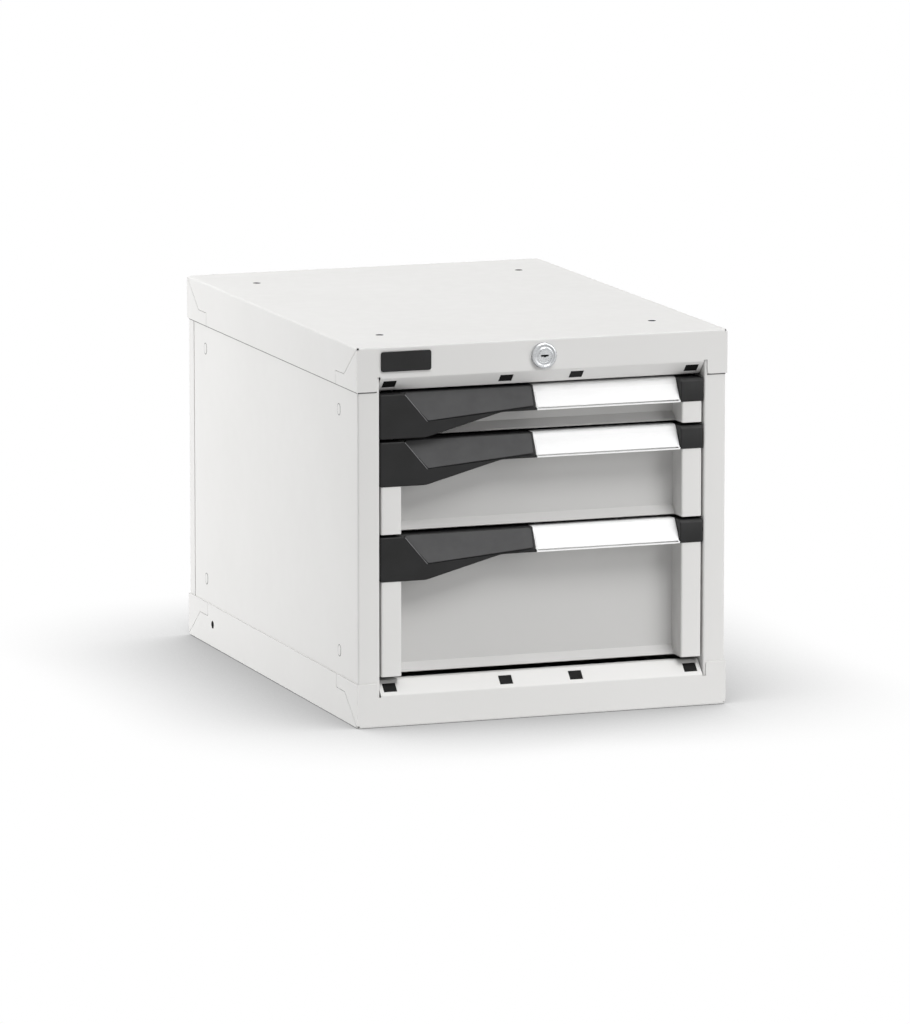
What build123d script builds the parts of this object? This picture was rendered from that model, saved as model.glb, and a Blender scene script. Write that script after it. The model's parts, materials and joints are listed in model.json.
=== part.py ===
from build123d import *
from math import cos, hypot, radians, sin
import os

# A bench cabinet of folded sheet steel, with three drawers on telescopic runners and one lock for them all.
# Millimetres. X runs to the right, Y from the front to the rear and Z up. The origin is on the floor, in the
# middle of the plan. A depth is measured backwards from the front face of the cabinet, and a drop downwards
# from the top of the cabinet or, on a drawer, from the top line of its module.

# Overall size
cabinet_width = 411.0
cabinet_depth = 572.0
top_drawer_height = 50.0
middle_drawer_height = 100.0
bottom_drawer_height = 150.0
frame_height = 50.0  # from the floor or the top face to the nearest drawer

# Clearances
seat_gap = 0.1
running_gap = 0.3
cut_overrun = 5.0

# Cover and base: two folded trays, one turned upside down
shell_sheet = 1.2
shell_bend = 2.0
flange_height = 46.5
front_face_height = 33.0
lip_depth = 14.0
lip_hem = 9.0
lip_bend = 2.0
lip_end_gap = 0.9
tab_width = 22.4
tab_corner = 3.0
corner_relief = 2.6
relief_rise = 1.5
seam_width = 0.6
seam_reach = 41.0
seam_drop = 32.4
seam_step = 67.5
fixing_hole_radius = 4.25
fixing_spacing_x = 304.0
fixing_spacing_y = 408.0
side_hole_radius = 4.25
side_hole_height = 25.4
side_hole_rear = 85.0  # from the rear face of the cabinet

# Plugs in the slanted lips
plug_width = 14.6
plug_length = 11.3
plug_inner_x = 39.0
plug_end_gap = 12.6  # from an outer plug's middle to the stile
plug_rim = 1.2
plug_rim_thickness = 1.0
plug_recess = 0.3

# Side and rear panels
panel_sheet = 1.0
panel_bend = 1.6
stile_width = 25.3
stile_return = 28.0
rear_wrap = 19.0
tongue_start = 2.5
tongue_run = 1.3
tongue_length = 12.0

# Uprights
upright_sheet = 1.5
upright_width = 30.0
upright_lip = 8.0
upright_depth = 61.0
runner_plane = 17.5  # from the outside of the cabinet to the face that carries the runners
hook_slot_width = 4.0
hook_slot_height = 11.0
hook_slot_pitch = 50.0
hook_slot_count = 6

# Telescopic runners
travel_reserve = 9.0  # what stays of the tray's inner depth when the drawer is out
rail_sheet = 1.5
rail_height = 28.0
rail_width = 11.5
rail_lip = 5.0
rail_level = 25.0  # from the bottom of a drawer's module to the middle of its runners
runner_room = 34.0  # from an upright to the wall of a tray
rail_front_depth = 36.0
rail_past_upright = 10.0
drawer_rail_gap = 2.0
telescope_front_depth = 38.0
telescope_rear_gap = 28.0
telescope_thickness = 3.0
telescope_height = 22.0
glide_play = 5.0
glide_end_gap = 4.0

# Drawer trays
rear_room = 80.0  # behind the trays
tray_sheet = 1.0
tray_bend = 1.5
tray_floor_level = 6.0
tray_top_drop = 7.0
tray_hem = 5.0

# Drawer fronts
front_sheet = 1.0
front_bend = 1.4
front_inset = 2.3
front_side_gap = 2.2
front_bottom_gap = 2.6
front_margin = 22.2
front_return = 20.0
front_top_drop = 4.0
recess_depth = 30.0
sill_height = 9.0
sill_run = 9.0

# Handle bar: the grip with its pad, the label holder and the end cap. A reach is measured from its left end.
handle_inset = 1.3
handle_side_gap = 0.9
handle_back = 18.0
handle_wall = 2.4
handle_edge = 0.9
handle_top_drop = 0.6
bar_drop = 25.2
bar_joint_gap = 0.4
belly_reach = 50.3
belly_radius = 25.0
rise_reach = 133.8
rise_radius = 30.0
grip_length = 172.8
grip_corner = 2.0
slope_top_depth = 14.5
slope_top_drop = 1.6
slope_foot_drop = 33.0
pad_top_reach = 25.8
pad_foot_reach = 51.8
pad_foot_drop = 30.8
pad_end_drop = 22.0
pad_corner = 3.0
pad_gap = 0.4
pad_rim = 2.6
pad_thickness = 1.7
label_sheet = 1.6
label_bend = 4.5
label_foot_depth = 3.6
label_foot_drop = 24.2
label_top_depth = 17.2
label_lip_height = 2.3
label_lip_depth = 3.0
card_sheet = 0.5
card_height = 17.5
card_end_gap = 1.2
cap_width = 25.3
cap_bevel = 2.8

# Lock
lock_drop = 17.5
lock_ring_radius = 13.75
lock_ring_height = 4.5
lock_ring_bevel = 1.6
lock_dish = 0.7
lock_body_radius = 9.9
lock_body_length = 22.0
lock_nut_radius = 13.4
lock_nut_thickness = 4.0
lock_plug_radius = 7.0
lock_plug_gap = 0.06
lock_tail_width = 8.0
key_slot_width = 8.6
key_slot_height = 2.0
key_slot_depth = 9.0
key_ward_width = 2.6
key_ward_height = 1.2
cam_radius = 12.0
cam_width = 13.0
cam_thickness = 2.5
cam_pin_radius = 2.5
cam_swing = 90.0
cam_gap = 0.6

# Locking bar, its guides, and the hooks on the trays
bar_thickness = 2.5
bar_width = 12.0
bar_level_drop = 33.0
bar_slot_gap = 0.7
bar_plate_edge = 5.0
comb_gap = 12.0  # from the trays to the comb
comb_foot_level = 12.0
finger_length = 17.5
finger_height = 8.0
finger_level = 26.0
hook_sheet = 2.0
hook_width = 16.0
hook_level = 19.0
hook_height = 17.0
hook_play = 1.2
hook_side_gap = 2.5
guide_sheet = 1.5
guide_foot = 12.0
guide_width = 18.0
guide_side_gap = 1.5
guide_front_depth = 110.0
guide_comb_gap = 74.0

# Badge plate
badge_width = 55.0
badge_height = 21.0
badge_thickness = 1.8
badge_corner = 2.5
badge_inset = 26.3
badge_drop = 15.6

# Sizes and places that follow from those above
cabinet_height = frame_height * 2 + top_drawer_height + middle_drawer_height + bottom_drawer_height
half_width = cabinet_width / 2
opening_half = half_width - stile_width
side_hole_depth = cabinet_depth - side_hole_rear
plug_outer_x = opening_half - plug_end_gap
panel_inset = shell_sheet + seat_gap
panel_inside = panel_inset + panel_sheet
panel_line = panel_inset + panel_sheet / 2
panel_end = shell_bend + seat_gap
rear_seam_depth = cabinet_depth - rear_wrap
upright_rear_depth = cabinet_depth - upright_depth
rail_rear_depth = upright_rear_depth + upright_width / 2 + rail_past_upright
telescope_rear_depth = rail_rear_depth - telescope_rear_gap
runner_x = half_width - runner_plane
tray_half = runner_x - runner_room
tray_inner_width = (tray_half - tray_sheet) * 2
tray_front_depth = recess_depth + front_sheet
tray_rear_depth = cabinet_depth - rear_room
tray_inner_depth = tray_rear_depth - tray_front_depth - tray_sheet * 2
drawer_travel = tray_inner_depth - travel_reserve
glide_length = drawer_travel / 2 - glide_play
telescope_x = (runner_x + tray_half) / 2
front_half = opening_half - front_side_gap
recess_half = front_half - front_margin
handle_half = opening_half - handle_side_gap
belly_end_x = belly_reach - handle_half
rise_end_x = rise_reach - handle_half
grip_end_x = grip_length - handle_half
pad_top_x = pad_top_reach - handle_half
pad_foot_x = pad_foot_reach - handle_half
label_end_x = handle_half - cap_width - bar_joint_gap
badge_x = badge_inset + badge_width / 2 - half_width
block_drop = top_drawer_height - front_bottom_gap
slope_rate = (slope_top_depth - handle_inset) / (slope_foot_drop - slope_top_drop)
lock_height = cabinet_height - lock_drop
cam_depth = lock_body_length + cam_gap
cam_throw = cam_radius * sin(radians(cam_swing / 2))
cam_rest_drop = cam_radius * cos(radians(cam_swing / 2))
bar_depth = cam_depth + cam_thickness + cam_gap
bar_level = cabinet_height - bar_level_drop
bar_edge_x = bar_width / 2 - cam_throw
comb_depth = tray_rear_depth + comb_gap
guide_rear_depth = comb_depth - guide_comb_gap
hook_depth = comb_depth + bar_thickness + hook_play + hook_sheet  # to the rear of a hook
hook_x = cam_throw + bar_width / 2 + hook_side_gap
middle_plane = Plane.XY.offset(cabinet_height / 2)
sides = (("left", -1), ("right", 1))
drawers = (
    ("bottom", frame_height, bottom_drawer_height),
    ("middle", frame_height + bottom_drawer_height, middle_drawer_height),
    ("top", frame_height + bottom_drawer_height + middle_drawer_height, top_drawer_height),
)


def depth(distance):
    """The Y of a place at this distance behind the front face."""
    return distance - cabinet_depth / 2


def facing(distance):
    """A plane that looks out of the front, at this distance behind the front face."""
    return Plane.XZ.offset(-depth(distance))


def folded(points, bend, sheet):
    """Draw the section of a sheet folded along the line through the points."""
    with BuildLine() as line:
        FilletPolyline(*points, radius=bend)
    trace(line.line, line_width=sheet)


def lipped_channel(across, reach, lip, sheet):
    """Draw a channel with inturned lips: its web lies along the local X axis and its mouth looks along Y."""
    Rectangle(across, reach, align=(Align.CENTER, Align.MIN))
    with Locations((0, sheet)):
        Rectangle(
            across - sheet * 2,
            reach - sheet * 2,
            align=(Align.CENTER, Align.MIN),
            mode=Mode.SUBTRACT,
        )
    with Locations((0, reach)):
        Rectangle(across - lip * 2, sheet * 2, mode=Mode.SUBTRACT)


def save(piece, name):
    """Name a finished piece and write it to its own file."""
    piece.part.label = name
    export_step(piece.part, f"parts/{name}.step")


# Cover and base
def lip_plane():
    """The middle of the cover's slanted lip, looking out and down."""
    middle = (lip_depth + shell_sheet) / 2
    level = cabinet_height - front_face_height - lip_depth / 2
    return Plane((0, depth(middle), level), x_dir=(1, 0, 0), z_dir=(0, -1, -1))


def plug_places():
    """Where the square plugs sit along a lip."""
    return [(x, 0) for x in (-plug_outer_x, -plug_inner_x, plug_inner_x, plug_outer_x)]


def shell_tray():
    """A tray with its floor on top: flanges all round, and a slanted lip between the front corners."""
    lip_start = cabinet_height - front_face_height
    lip_line = depth(shell_sheet / 2)
    lip_half = opening_half - lip_end_gap
    with BuildPart() as tray:
        with BuildSketch(Plane.XY.offset(cabinet_height - flange_height)):
            Rectangle(cabinet_width, cabinet_depth)
        extrude(amount=flange_height)
        fillet(tray.faces().sort_by(Axis.Z)[-1].edges(), shell_bend)
        offset(amount=-shell_sheet, openings=tray.faces().sort_by(Axis.Z)[0])
        # the front flange stops above the lip, between two corner tabs
        with BuildSketch(facing(0)):
            with Locations((0, lip_start + relief_rise)):
                Rectangle(
                    cabinet_width - tab_width * 2,
                    flange_height - front_face_height + relief_rise + cut_overrun,
                    align=(Align.CENTER, Align.MAX),
                )
        extrude(amount=cut_overrun, both=True, mode=Mode.SUBTRACT)
        tab_edges = tray.edges().filter_by(Axis.Y).group_by(Axis.Z)[0]
        fillet(tab_edges.filter_by(lambda edge: edge.length < shell_bend), tab_corner)
        with BuildSketch(Plane.YZ.offset(-lip_half)):
            folded(
                [
                    (lip_line, lip_start + relief_rise + lip_bend),
                    (lip_line, lip_start),
                    (lip_line + lip_depth, lip_start - lip_depth),
                    (lip_line + lip_depth + lip_hem, lip_start - lip_depth),
                ],
                lip_bend,
                shell_sheet,
            )
        extrude(amount=lip_half * 2)
        with BuildSketch(lip_plane()):
            with Locations(*plug_places()):
                Rectangle(plug_width, plug_length)
        extrude(amount=cut_overrun, both=True, mode=Mode.SUBTRACT)
        # seams where the front and rear flanges wrap onto the sides
        for side, sign in sides:
            for end in (-1, 1):
                corner = end * cabinet_depth / 2
                with BuildSketch(Plane.YZ.offset(sign * (half_width - shell_sheet / 2))):
                    folded(
                        [
                            (corner - end * shell_bend, cabinet_height - shell_bend),
                            (corner - end * seam_reach, cabinet_height - seam_drop),
                            (corner - end * seam_step, cabinet_height - seam_drop),
                            (corner - end * seam_step, cabinet_height - flange_height - cut_overrun),
                        ],
                        0,
                        seam_width,
                    )
                extrude(amount=shell_sheet, both=True, mode=Mode.SUBTRACT)
        with BuildSketch(Plane.XY.offset(cabinet_height)):
            with GridLocations(fixing_spacing_x, fixing_spacing_y, 2, 2):
                Circle(fixing_hole_radius)
        extrude(amount=cut_overrun, both=True, mode=Mode.SUBTRACT)
        # the folds stop short of each corner and leave a small hole there
        with BuildSketch(Plane.XY.offset(cabinet_height - corner_relief)):
            with GridLocations(cabinet_width, cabinet_depth, 2, 2):
                Rectangle(corner_relief * 2, corner_relief * 2)
        extrude(amount=corner_relief, mode=Mode.SUBTRACT)
    return tray.part


os.makedirs("parts", exist_ok=True)

with BuildPart() as top_cover:
    add(shell_tray())
    with BuildSketch(facing(0)):
        with Locations((0, lock_height)):
            Circle(lock_body_radius + seat_gap)
    extrude(amount=cut_overrun, both=True, mode=Mode.SUBTRACT)
save(top_cover, "top_cover")

with BuildPart() as base_tray:
    mirror(shell_tray(), about=middle_plane)
    with BuildSketch(Plane.YZ):
        with Locations((depth(side_hole_depth), side_hole_height)):
            Circle(side_hole_radius)
    extrude(amount=cabinet_width, both=True, mode=Mode.SUBTRACT)
save(base_tray, "base_tray")

with BuildPart() as frame_plugs:
    with BuildSketch(lip_plane().offset(-shell_sheet / 2)):
        with Locations(*plug_places()):
            Rectangle(plug_width - seat_gap * 2, plug_length - seat_gap * 2)
    extrude(amount=shell_sheet - plug_recess)
    with BuildSketch(lip_plane().offset(-shell_sheet / 2)):
        with Locations(*plug_places()):
            Rectangle(plug_width + plug_rim * 2, plug_length + plug_rim * 2)
    extrude(amount=-plug_rim_thickness)
    mirror(about=middle_plane)
save(frame_plugs, "frame_plugs")

with BuildPart() as badge_plate:
    with BuildSketch(facing(0)):
        with Locations((badge_x, cabinet_height - badge_drop)):
            RectangleRounded(badge_width, badge_height, badge_corner)
    extrude(amount=badge_thickness)
save(badge_plate, "badge_plate")


# Side and rear panels, and the uprights inside the sides
def side_panel(sign):
    """A side wall: its front edge is folded into a stile, its rear edge is set in behind the rear panel."""
    tongue_line = panel_line + panel_sheet + seat_gap
    stile_line = stile_width - panel_sheet / 2
    outline = (
        (stile_line, stile_return),
        (stile_line, panel_line),
        (panel_line, panel_line),
        (panel_line, rear_seam_depth - tongue_start),
        (tongue_line, rear_seam_depth - tongue_start + tongue_run),
        (tongue_line, rear_seam_depth + tongue_length),
    )
    with BuildPart() as panel:
        with BuildSketch(Plane.XY.offset(panel_end)):
            folded([(sign * (half_width - x), depth(y)) for x, y in outline], panel_bend, panel_sheet)
        extrude(amount=cabinet_height - panel_end * 2)
        with BuildSketch(Plane.YZ.offset(sign * half_width)):
            with Locations((depth(side_hole_depth), side_hole_height)):
                Circle(side_hole_radius)
        extrude(amount=cut_overrun, both=True, mode=Mode.SUBTRACT)
    return panel


def upright(sign, middle):
    """A lipped channel that stands against the side wall and carries the runners on its two lips."""
    web = Plane(
        (sign * (half_width - panel_inside), depth(middle), panel_end),
        x_dir=(0, 1, 0),
        z_dir=(0, 0, sign),
    )
    with BuildPart() as channel:
        with BuildSketch(web):
            lipped_channel(upright_width, runner_plane - panel_inside, upright_lip, upright_sheet)
        extrude(amount=sign * (cabinet_height - panel_end * 2))
        with BuildSketch(Plane.YZ.offset(sign * runner_x)):
            with Locations((depth(middle), cabinet_height / 2)):
                with GridLocations(upright_width - upright_lip, hook_slot_pitch, 2, hook_slot_count):
                    Rectangle(hook_slot_width, hook_slot_height)
        extrude(amount=upright_sheet * 2, both=True, mode=Mode.SUBTRACT)
    return channel


for side, sign in sides:
    save(side_panel(sign), f"{side}_side_panel")
    save(upright(sign, upright_depth), f"front_{side}_upright")
    save(upright(sign, upright_rear_depth), f"rear_{side}_upright")

with BuildPart() as rear_panel:
    with BuildSketch(Plane.XY.offset(panel_end)):
        folded(
            [
                (panel_line - half_width, depth(rear_seam_depth)),
                (panel_line - half_width, depth(cabinet_depth - panel_line)),
                (half_width - panel_line, depth(cabinet_depth - panel_line)),
                (half_width - panel_line, depth(rear_seam_depth)),
            ],
            panel_bend,
            panel_sheet,
        )
    extrude(amount=cabinet_height - panel_end * 2)
save(rear_panel, "rear_panel")


# Telescopic runners
def lipped_rail(seat_x, inward, level, front, rear):
    """A lipped channel along Y: its web stands on seat_x and its mouth looks to the side given by inward."""
    web = Plane((seat_x, depth(front), level), x_dir=(0, 0, 1), z_dir=(0, inward, 0))
    with BuildPart() as rail:
        with BuildSketch(web):
            lipped_channel(rail_height, rail_width, rail_lip, rail_sheet)
        extrude(amount=inward * (rear - front))
    return rail


def telescope_rail(sign, level):
    """The flat bar between the cabinet rail and the drawer rail."""
    with BuildPart() as bar:
        with BuildSketch(facing(telescope_front_depth)):
            with Locations((sign * telescope_x, level)):
                Rectangle(telescope_thickness, telescope_height)
        extrude(amount=telescope_front_depth - telescope_rear_depth)
    return bar


def glide_section(sign, seat_x, mouth, level):
    """Draw a T: its head runs in a rail that stands on seat_x, its neck reaches the flat bar."""
    head_back = seat_x + mouth * (rail_sheet + running_gap)
    head_front = seat_x + mouth * (rail_width - rail_sheet - running_gap)
    bar_face = telescope_x - mouth * telescope_thickness / 2
    head_height = rail_height - rail_sheet * 2 - running_gap * 2
    neck_height = rail_height - rail_lip * 2 - running_gap * 2
    with Locations((sign * (head_back + head_front) / 2, level)):
        Rectangle(abs(head_front - head_back), head_height)
    with Locations((sign * (head_back + bar_face) / 2, level)):
        Rectangle(abs(bar_face - head_back), neck_height)


def rail_glides(level):
    """Four nylon shoes on a pair of flat bars: two run in the cabinet rails and two in the drawer rails."""
    outer_front = rail_front_depth + drawer_travel / 2 + glide_end_gap
    inner_front = telescope_front_depth + glide_end_gap
    with BuildPart() as glides:
        for side, sign in sides:
            with BuildSketch(facing(outer_front)):
                glide_section(sign, runner_x, -1, level)
            extrude(amount=-glide_length)
            with BuildSketch(facing(inner_front)):
                glide_section(sign, tray_half, 1, level)
            extrude(amount=-glide_length)
    return glides


for name, level, height in drawers:
    middle = level + rail_level
    for side, sign in sides:
        cabinet_rail = lipped_rail(sign * runner_x, -sign, middle, rail_front_depth, rail_rear_depth)
        save(cabinet_rail, f"{name}_{side}_cabinet_rail")
        save(telescope_rail(sign, middle), f"{name}_{side}_telescope_rail")
        drawer_front_depth = tray_front_depth + drawer_rail_gap
        drawer_rail = lipped_rail(sign * tray_half, sign, middle, drawer_front_depth, tray_rear_depth)
        save(drawer_rail, f"{name}_{side}_drawer_rail")
    save(rail_glides(middle), f"{name}_rail_glides")


# Drawers
def drawer_tray(level, height):
    """The open box of a drawer, with outward hems on its sides and a hook for the lock at its rear."""
    floor = level + tray_floor_level
    rim = level + height - tray_top_drop
    wall_line = tray_half - tray_sheet / 2
    with BuildPart() as tray:
        with BuildSketch(facing(tray_front_depth)):
            folded(
                [
                    (-wall_line, rim),
                    (-wall_line, floor + tray_sheet / 2),
                    (wall_line, floor + tray_sheet / 2),
                    (wall_line, rim),
                ],
                tray_bend,
                tray_sheet,
            )
            for sign in (-1, 1):
                with Locations((sign * (wall_line + tray_hem / 2), rim)):
                    Rectangle(tray_hem, tray_sheet, align=(Align.CENTER, Align.MAX))
        extrude(amount=tray_front_depth - tray_rear_depth)
        for front in (tray_front_depth, tray_rear_depth - tray_sheet):
            with BuildSketch(facing(front)):
                with Locations((0, floor + tray_sheet)):
                    Rectangle(tray_inner_width, rim - floor - tray_sheet, align=(Align.CENTER, Align.MIN))
            extrude(amount=-tray_sheet)
        with BuildSketch(Plane.YZ.offset(hook_x)):
            with Locations((depth(hook_depth), level + hook_level)):
                Rectangle(hook_depth - tray_rear_depth, hook_sheet, align=(Align.MAX, Align.MIN))
                Rectangle(hook_sheet, hook_height, align=(Align.MAX, Align.MIN))
        extrude(amount=hook_width)
    return tray


def drawer_front(level, height):
    """The pressed front: two flat margins, a deep finger recess between them and a slanted sill below."""
    foot = level + front_bottom_gap
    crown = level + height - front_top_drop
    top = level + height
    edge_line = front_half - front_sheet / 2
    wall_line = recess_half + front_sheet / 2
    face_line = depth(front_inset + front_sheet / 2)
    web_line = depth(recess_depth + front_sheet / 2)
    return_end = depth(front_inset + front_return)
    with BuildPart() as front:
        with BuildSketch(Plane.XY.offset(foot)):
            folded(
                [
                    (-edge_line, return_end),
                    (-edge_line, face_line),
                    (-wall_line, face_line),
                    (-wall_line, web_line),
                    (wall_line, web_line),
                    (wall_line, face_line),
                    (edge_line, face_line),
                    (edge_line, return_end),
                ],
                (front_bend, front_bend, 0, 0, front_bend, front_bend),
                front_sheet,
            )
            with Locations((-wall_line, web_line), (wall_line, web_line)):
                Rectangle(front_sheet, front_sheet)
        extrude(amount=crown - foot)
        # the margins make room for the block of the grip on the left and for the end cap on the right
        for sign, drop in ((-1, block_drop), (1, bar_drop)):
            with BuildSketch(Plane.XY.offset(top - drop)):
                with Locations((sign * front_half, depth(handle_back + seat_gap))):
                    Rectangle(front_margin * 2 + cut_overrun, cabinet_depth, align=(Align.CENTER, Align.MAX))
                with Locations((sign * front_half, depth(0))):
                    Rectangle(front_margin, cabinet_depth)
            extrude(amount=drop, mode=Mode.SUBTRACT)
        with BuildSketch(facing(recess_depth - front_sheet)):
            with Locations((0, foot)):
                Rectangle(recess_half * 2, sill_height, align=(Align.CENTER, Align.MIN))
        extrude(amount=-front_sheet * 2, mode=Mode.SUBTRACT)
        with BuildSketch(Plane.YZ.offset(-wall_line)):
            folded(
                [
                    (web_line - sill_run, foot + front_sheet / 2),
                    (web_line, foot + sill_height),
                    (web_line, foot + sill_height + front_bend),
                ],
                front_sheet,
                front_sheet,
            )
        extrude(amount=wall_line * 2)
    return front


def slope_depth(drop):
    """How far the sloping bed of the grip pad lies behind the front face, at this drop."""
    return slope_top_depth - slope_rate * (drop - slope_top_drop)


def slope_block(top, grow):
    """The room in front of the pad's bed, grown on every side by a wall."""
    foot_x = pad_foot_x - grow
    foot_drop = pad_foot_drop + grow
    end_drop = pad_end_drop + grow
    lean = (pad_foot_x - pad_top_x) / pad_foot_drop
    head_x = foot_x - lean * (foot_drop + cut_overrun)
    low = foot_drop + cut_overrun
    with BuildPart() as block:
        with BuildSketch(facing(-cut_overrun)):
            Polygon(
                (head_x, top + cut_overrun),
                (foot_x, top - foot_drop),
                (grip_end_x + cut_overrun, top - end_drop),
                (grip_end_x + cut_overrun, top + cut_overrun),
                align=None,
            )
        extrude(amount=-(handle_back + cut_overrun * 2))
        with BuildSketch(Plane.YZ):
            Polygon(
                (depth(-cut_overrun), top + cut_overrun),
                (depth(slope_depth(-cut_overrun) + grow), top + cut_overrun),
                (depth(slope_depth(low) + grow), top - low),
                (depth(-cut_overrun), top - low),
                align=None,
            )
        extrude(amount=cabinet_width, both=True, mode=Mode.INTERSECT)
    return block.part


def grip_outline(top):
    """The front outline of the grip: a deep block on the left whose belly rises to the height of the bar."""
    with BuildLine() as line:
        FilletPolyline(
            (-handle_half, top - handle_top_drop),
            (-handle_half, top - block_drop),
            (belly_end_x, top - block_drop),
            (rise_end_x, top - bar_drop),
            (grip_end_x, top - bar_drop),
            (grip_end_x, top - handle_top_drop),
            radius=(grip_corner, grip_corner, belly_radius, rise_radius, 0, 0),
            close=True,
        )
    make_face(line.line)


def handle_grip(top):
    """The moulded grip: hollow behind, with a sloping bed for the pad and a plate back to the recess."""
    with BuildPart() as hollow:
        with BuildSketch(facing(handle_inset + handle_wall)):
            grip_outline(top)
            offset(amount=-handle_wall)
        extrude(amount=handle_inset + handle_wall - handle_back - cut_overrun)
        add(slope_block(top, handle_wall), mode=Mode.SUBTRACT)
    with BuildPart() as grip:
        with BuildSketch(facing(handle_inset)):
            grip_outline(top)
        extrude(amount=handle_inset - handle_back)
        chamfer(grip.faces().sort_by(Axis.Y)[0].edges(), handle_edge)
        add(slope_block(top, 0), mode=Mode.SUBTRACT)
        add(hollow.part, mode=Mode.SUBTRACT)
        with BuildSketch(facing(recess_depth)):
            with Locations((grip_end_x, top - handle_top_drop)):
                Rectangle(recess_half + grip_end_x, handle_wall, align=(Align.MAX, Align.MAX))
        extrude(amount=recess_depth - handle_back + handle_wall)
    return grip


def grip_pad(top):
    """The soft grey pad on the sloping bed."""
    stretch = hypot(1, slope_rate)
    bed = Plane(
        (0, depth(slope_top_depth), top - slope_top_drop),
        x_dir=(1, 0, 0),
        z_dir=(0, -1, slope_rate),
    )
    lean = (pad_foot_x - pad_top_x) / pad_foot_drop
    end_x = grip_end_x - pad_rim
    foot_drop = pad_foot_drop - pad_gap
    end_drop = pad_end_drop - pad_gap
    outline = (
        (pad_top_x + lean * slope_top_drop + pad_gap, slope_top_drop),
        (pad_foot_x + pad_gap, foot_drop),
        (end_x, end_drop),
        (end_x, slope_top_drop),
    )
    with BuildPart() as pad:
        with BuildSketch(bed) as face:
            Polygon(*[(x, (slope_top_drop - drop) * stretch) for x, drop in outline], align=None)
            fillet(face.vertices(), pad_corner)
        extrude(amount=pad_thickness)
    return pad


def label_line(top):
    """The two ends of the label holder's sloping face, on the middle of its sheet."""
    foot = Vector(depth(label_foot_depth), top - label_foot_drop)
    head = Vector(depth(label_top_depth), top - handle_top_drop - label_sheet / 2)
    return foot, head


def label_holder(top):
    """A profile with a sloping face, a lip below it that holds the card, and a plate back to the recess."""
    foot, head = label_line(top)
    start_x = grip_end_x + bar_joint_gap
    with BuildPart() as holder:
        with BuildSketch(Plane.YZ.offset(start_x)):
            folded(
                [(foot.X, foot.Y), (head.X, head.Y), (depth(recess_depth), head.Y)],
                label_bend,
                label_sheet,
            )
            with Locations((depth(handle_inset), top - bar_drop)):
                Rectangle(label_lip_depth, label_lip_height, align=(Align.MIN, Align.MIN))
        extrude(amount=label_end_x - start_x)
    return holder


def label_card(top):
    """The blank card on the holder's sloping face."""
    foot, head = label_line(top)
    up = (head - foot).normalized()
    out = Vector(-up.Y, up.X)
    lip_top = top - bar_drop + label_lip_height + seat_gap
    face = foot + out * (label_sheet + card_sheet) / 2
    start = face + up * ((lip_top - face.Y) / up.Y + card_sheet)
    end = start + up * card_height
    start_x = grip_end_x + bar_joint_gap + card_end_gap
    with BuildPart() as card:
        with BuildSketch(Plane.YZ.offset(start_x)):
            with BuildLine() as line:
                Line((start.X, start.Y), (end.X, end.Y))
            trace(line.line, line_width=card_sheet)
        extrude(amount=label_end_x - card_end_gap - start_x)
    return card


def end_cap(top):
    """The short moulded block that closes the bar on the right, open at the back."""
    cap_height = bar_drop - handle_top_drop
    middle = (handle_half - cap_width / 2, top - (bar_drop + handle_top_drop) / 2)
    with BuildPart() as cap:
        with BuildSketch(facing(handle_inset)):
            with Locations(middle):
                Rectangle(cap_width, cap_height)
        extrude(amount=handle_inset - handle_back)
        chamfer(cap.faces().sort_by(Axis.Y)[0].edges().sort_by(Axis.Z)[-1], cap_bevel)
        chamfer(cap.faces().sort_by(Axis.Y)[0].edges(), handle_edge)
        with BuildSketch(facing(handle_back)):
            with Locations(middle):
                Rectangle(cap_width - handle_wall * 2, cap_height - handle_wall * 2)
        extrude(amount=handle_back - handle_inset - handle_wall - cap_bevel, mode=Mode.SUBTRACT)
    return cap


for name, level, height in drawers:
    top = level + height
    save(drawer_tray(level, height), f"{name}_drawer_tray")
    save(drawer_front(level, height), f"{name}_drawer_front")
    save(handle_grip(top), f"{name}_handle_grip")
    save(grip_pad(top), f"{name}_grip_pad")
    save(label_holder(top), f"{name}_label_holder")
    save(label_card(top), f"{name}_label_card")
    save(end_cap(top), f"{name}_end_cap")


# Lock
lock_axis = Axis((0, 0, lock_height), (0, 1, 0))


def turned(profile):
    """Draw a profile of radius and depth pairs beside the lock's axis."""
    Polygon(*[(depth(y), lock_height + radius) for radius, y in profile], align=None)


with BuildPart() as lock_barrel:
    bore = lock_plug_radius + lock_plug_gap
    with BuildSketch(Plane.YZ):
        turned(
            [
                (bore, -lock_ring_height),
                (lock_ring_radius - lock_ring_bevel, -lock_ring_height),
                (lock_ring_radius, lock_ring_bevel - lock_ring_height),
                (lock_ring_radius, 0),
                (lock_body_radius, 0),
                (lock_body_radius, lock_body_length),
                (bore, lock_body_length),
            ]
        )
    revolve(axis=lock_axis)
save(lock_barrel, "lock_barrel")

with BuildPart() as lock_nut:
    with BuildSketch(facing(shell_sheet)):
        with Locations((0, lock_height)):
            RegularPolygon(lock_nut_radius, 6)
            Circle(lock_body_radius + seat_gap, mode=Mode.SUBTRACT)
    extrude(amount=-lock_nut_thickness)
save(lock_nut, "lock_nut")

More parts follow.
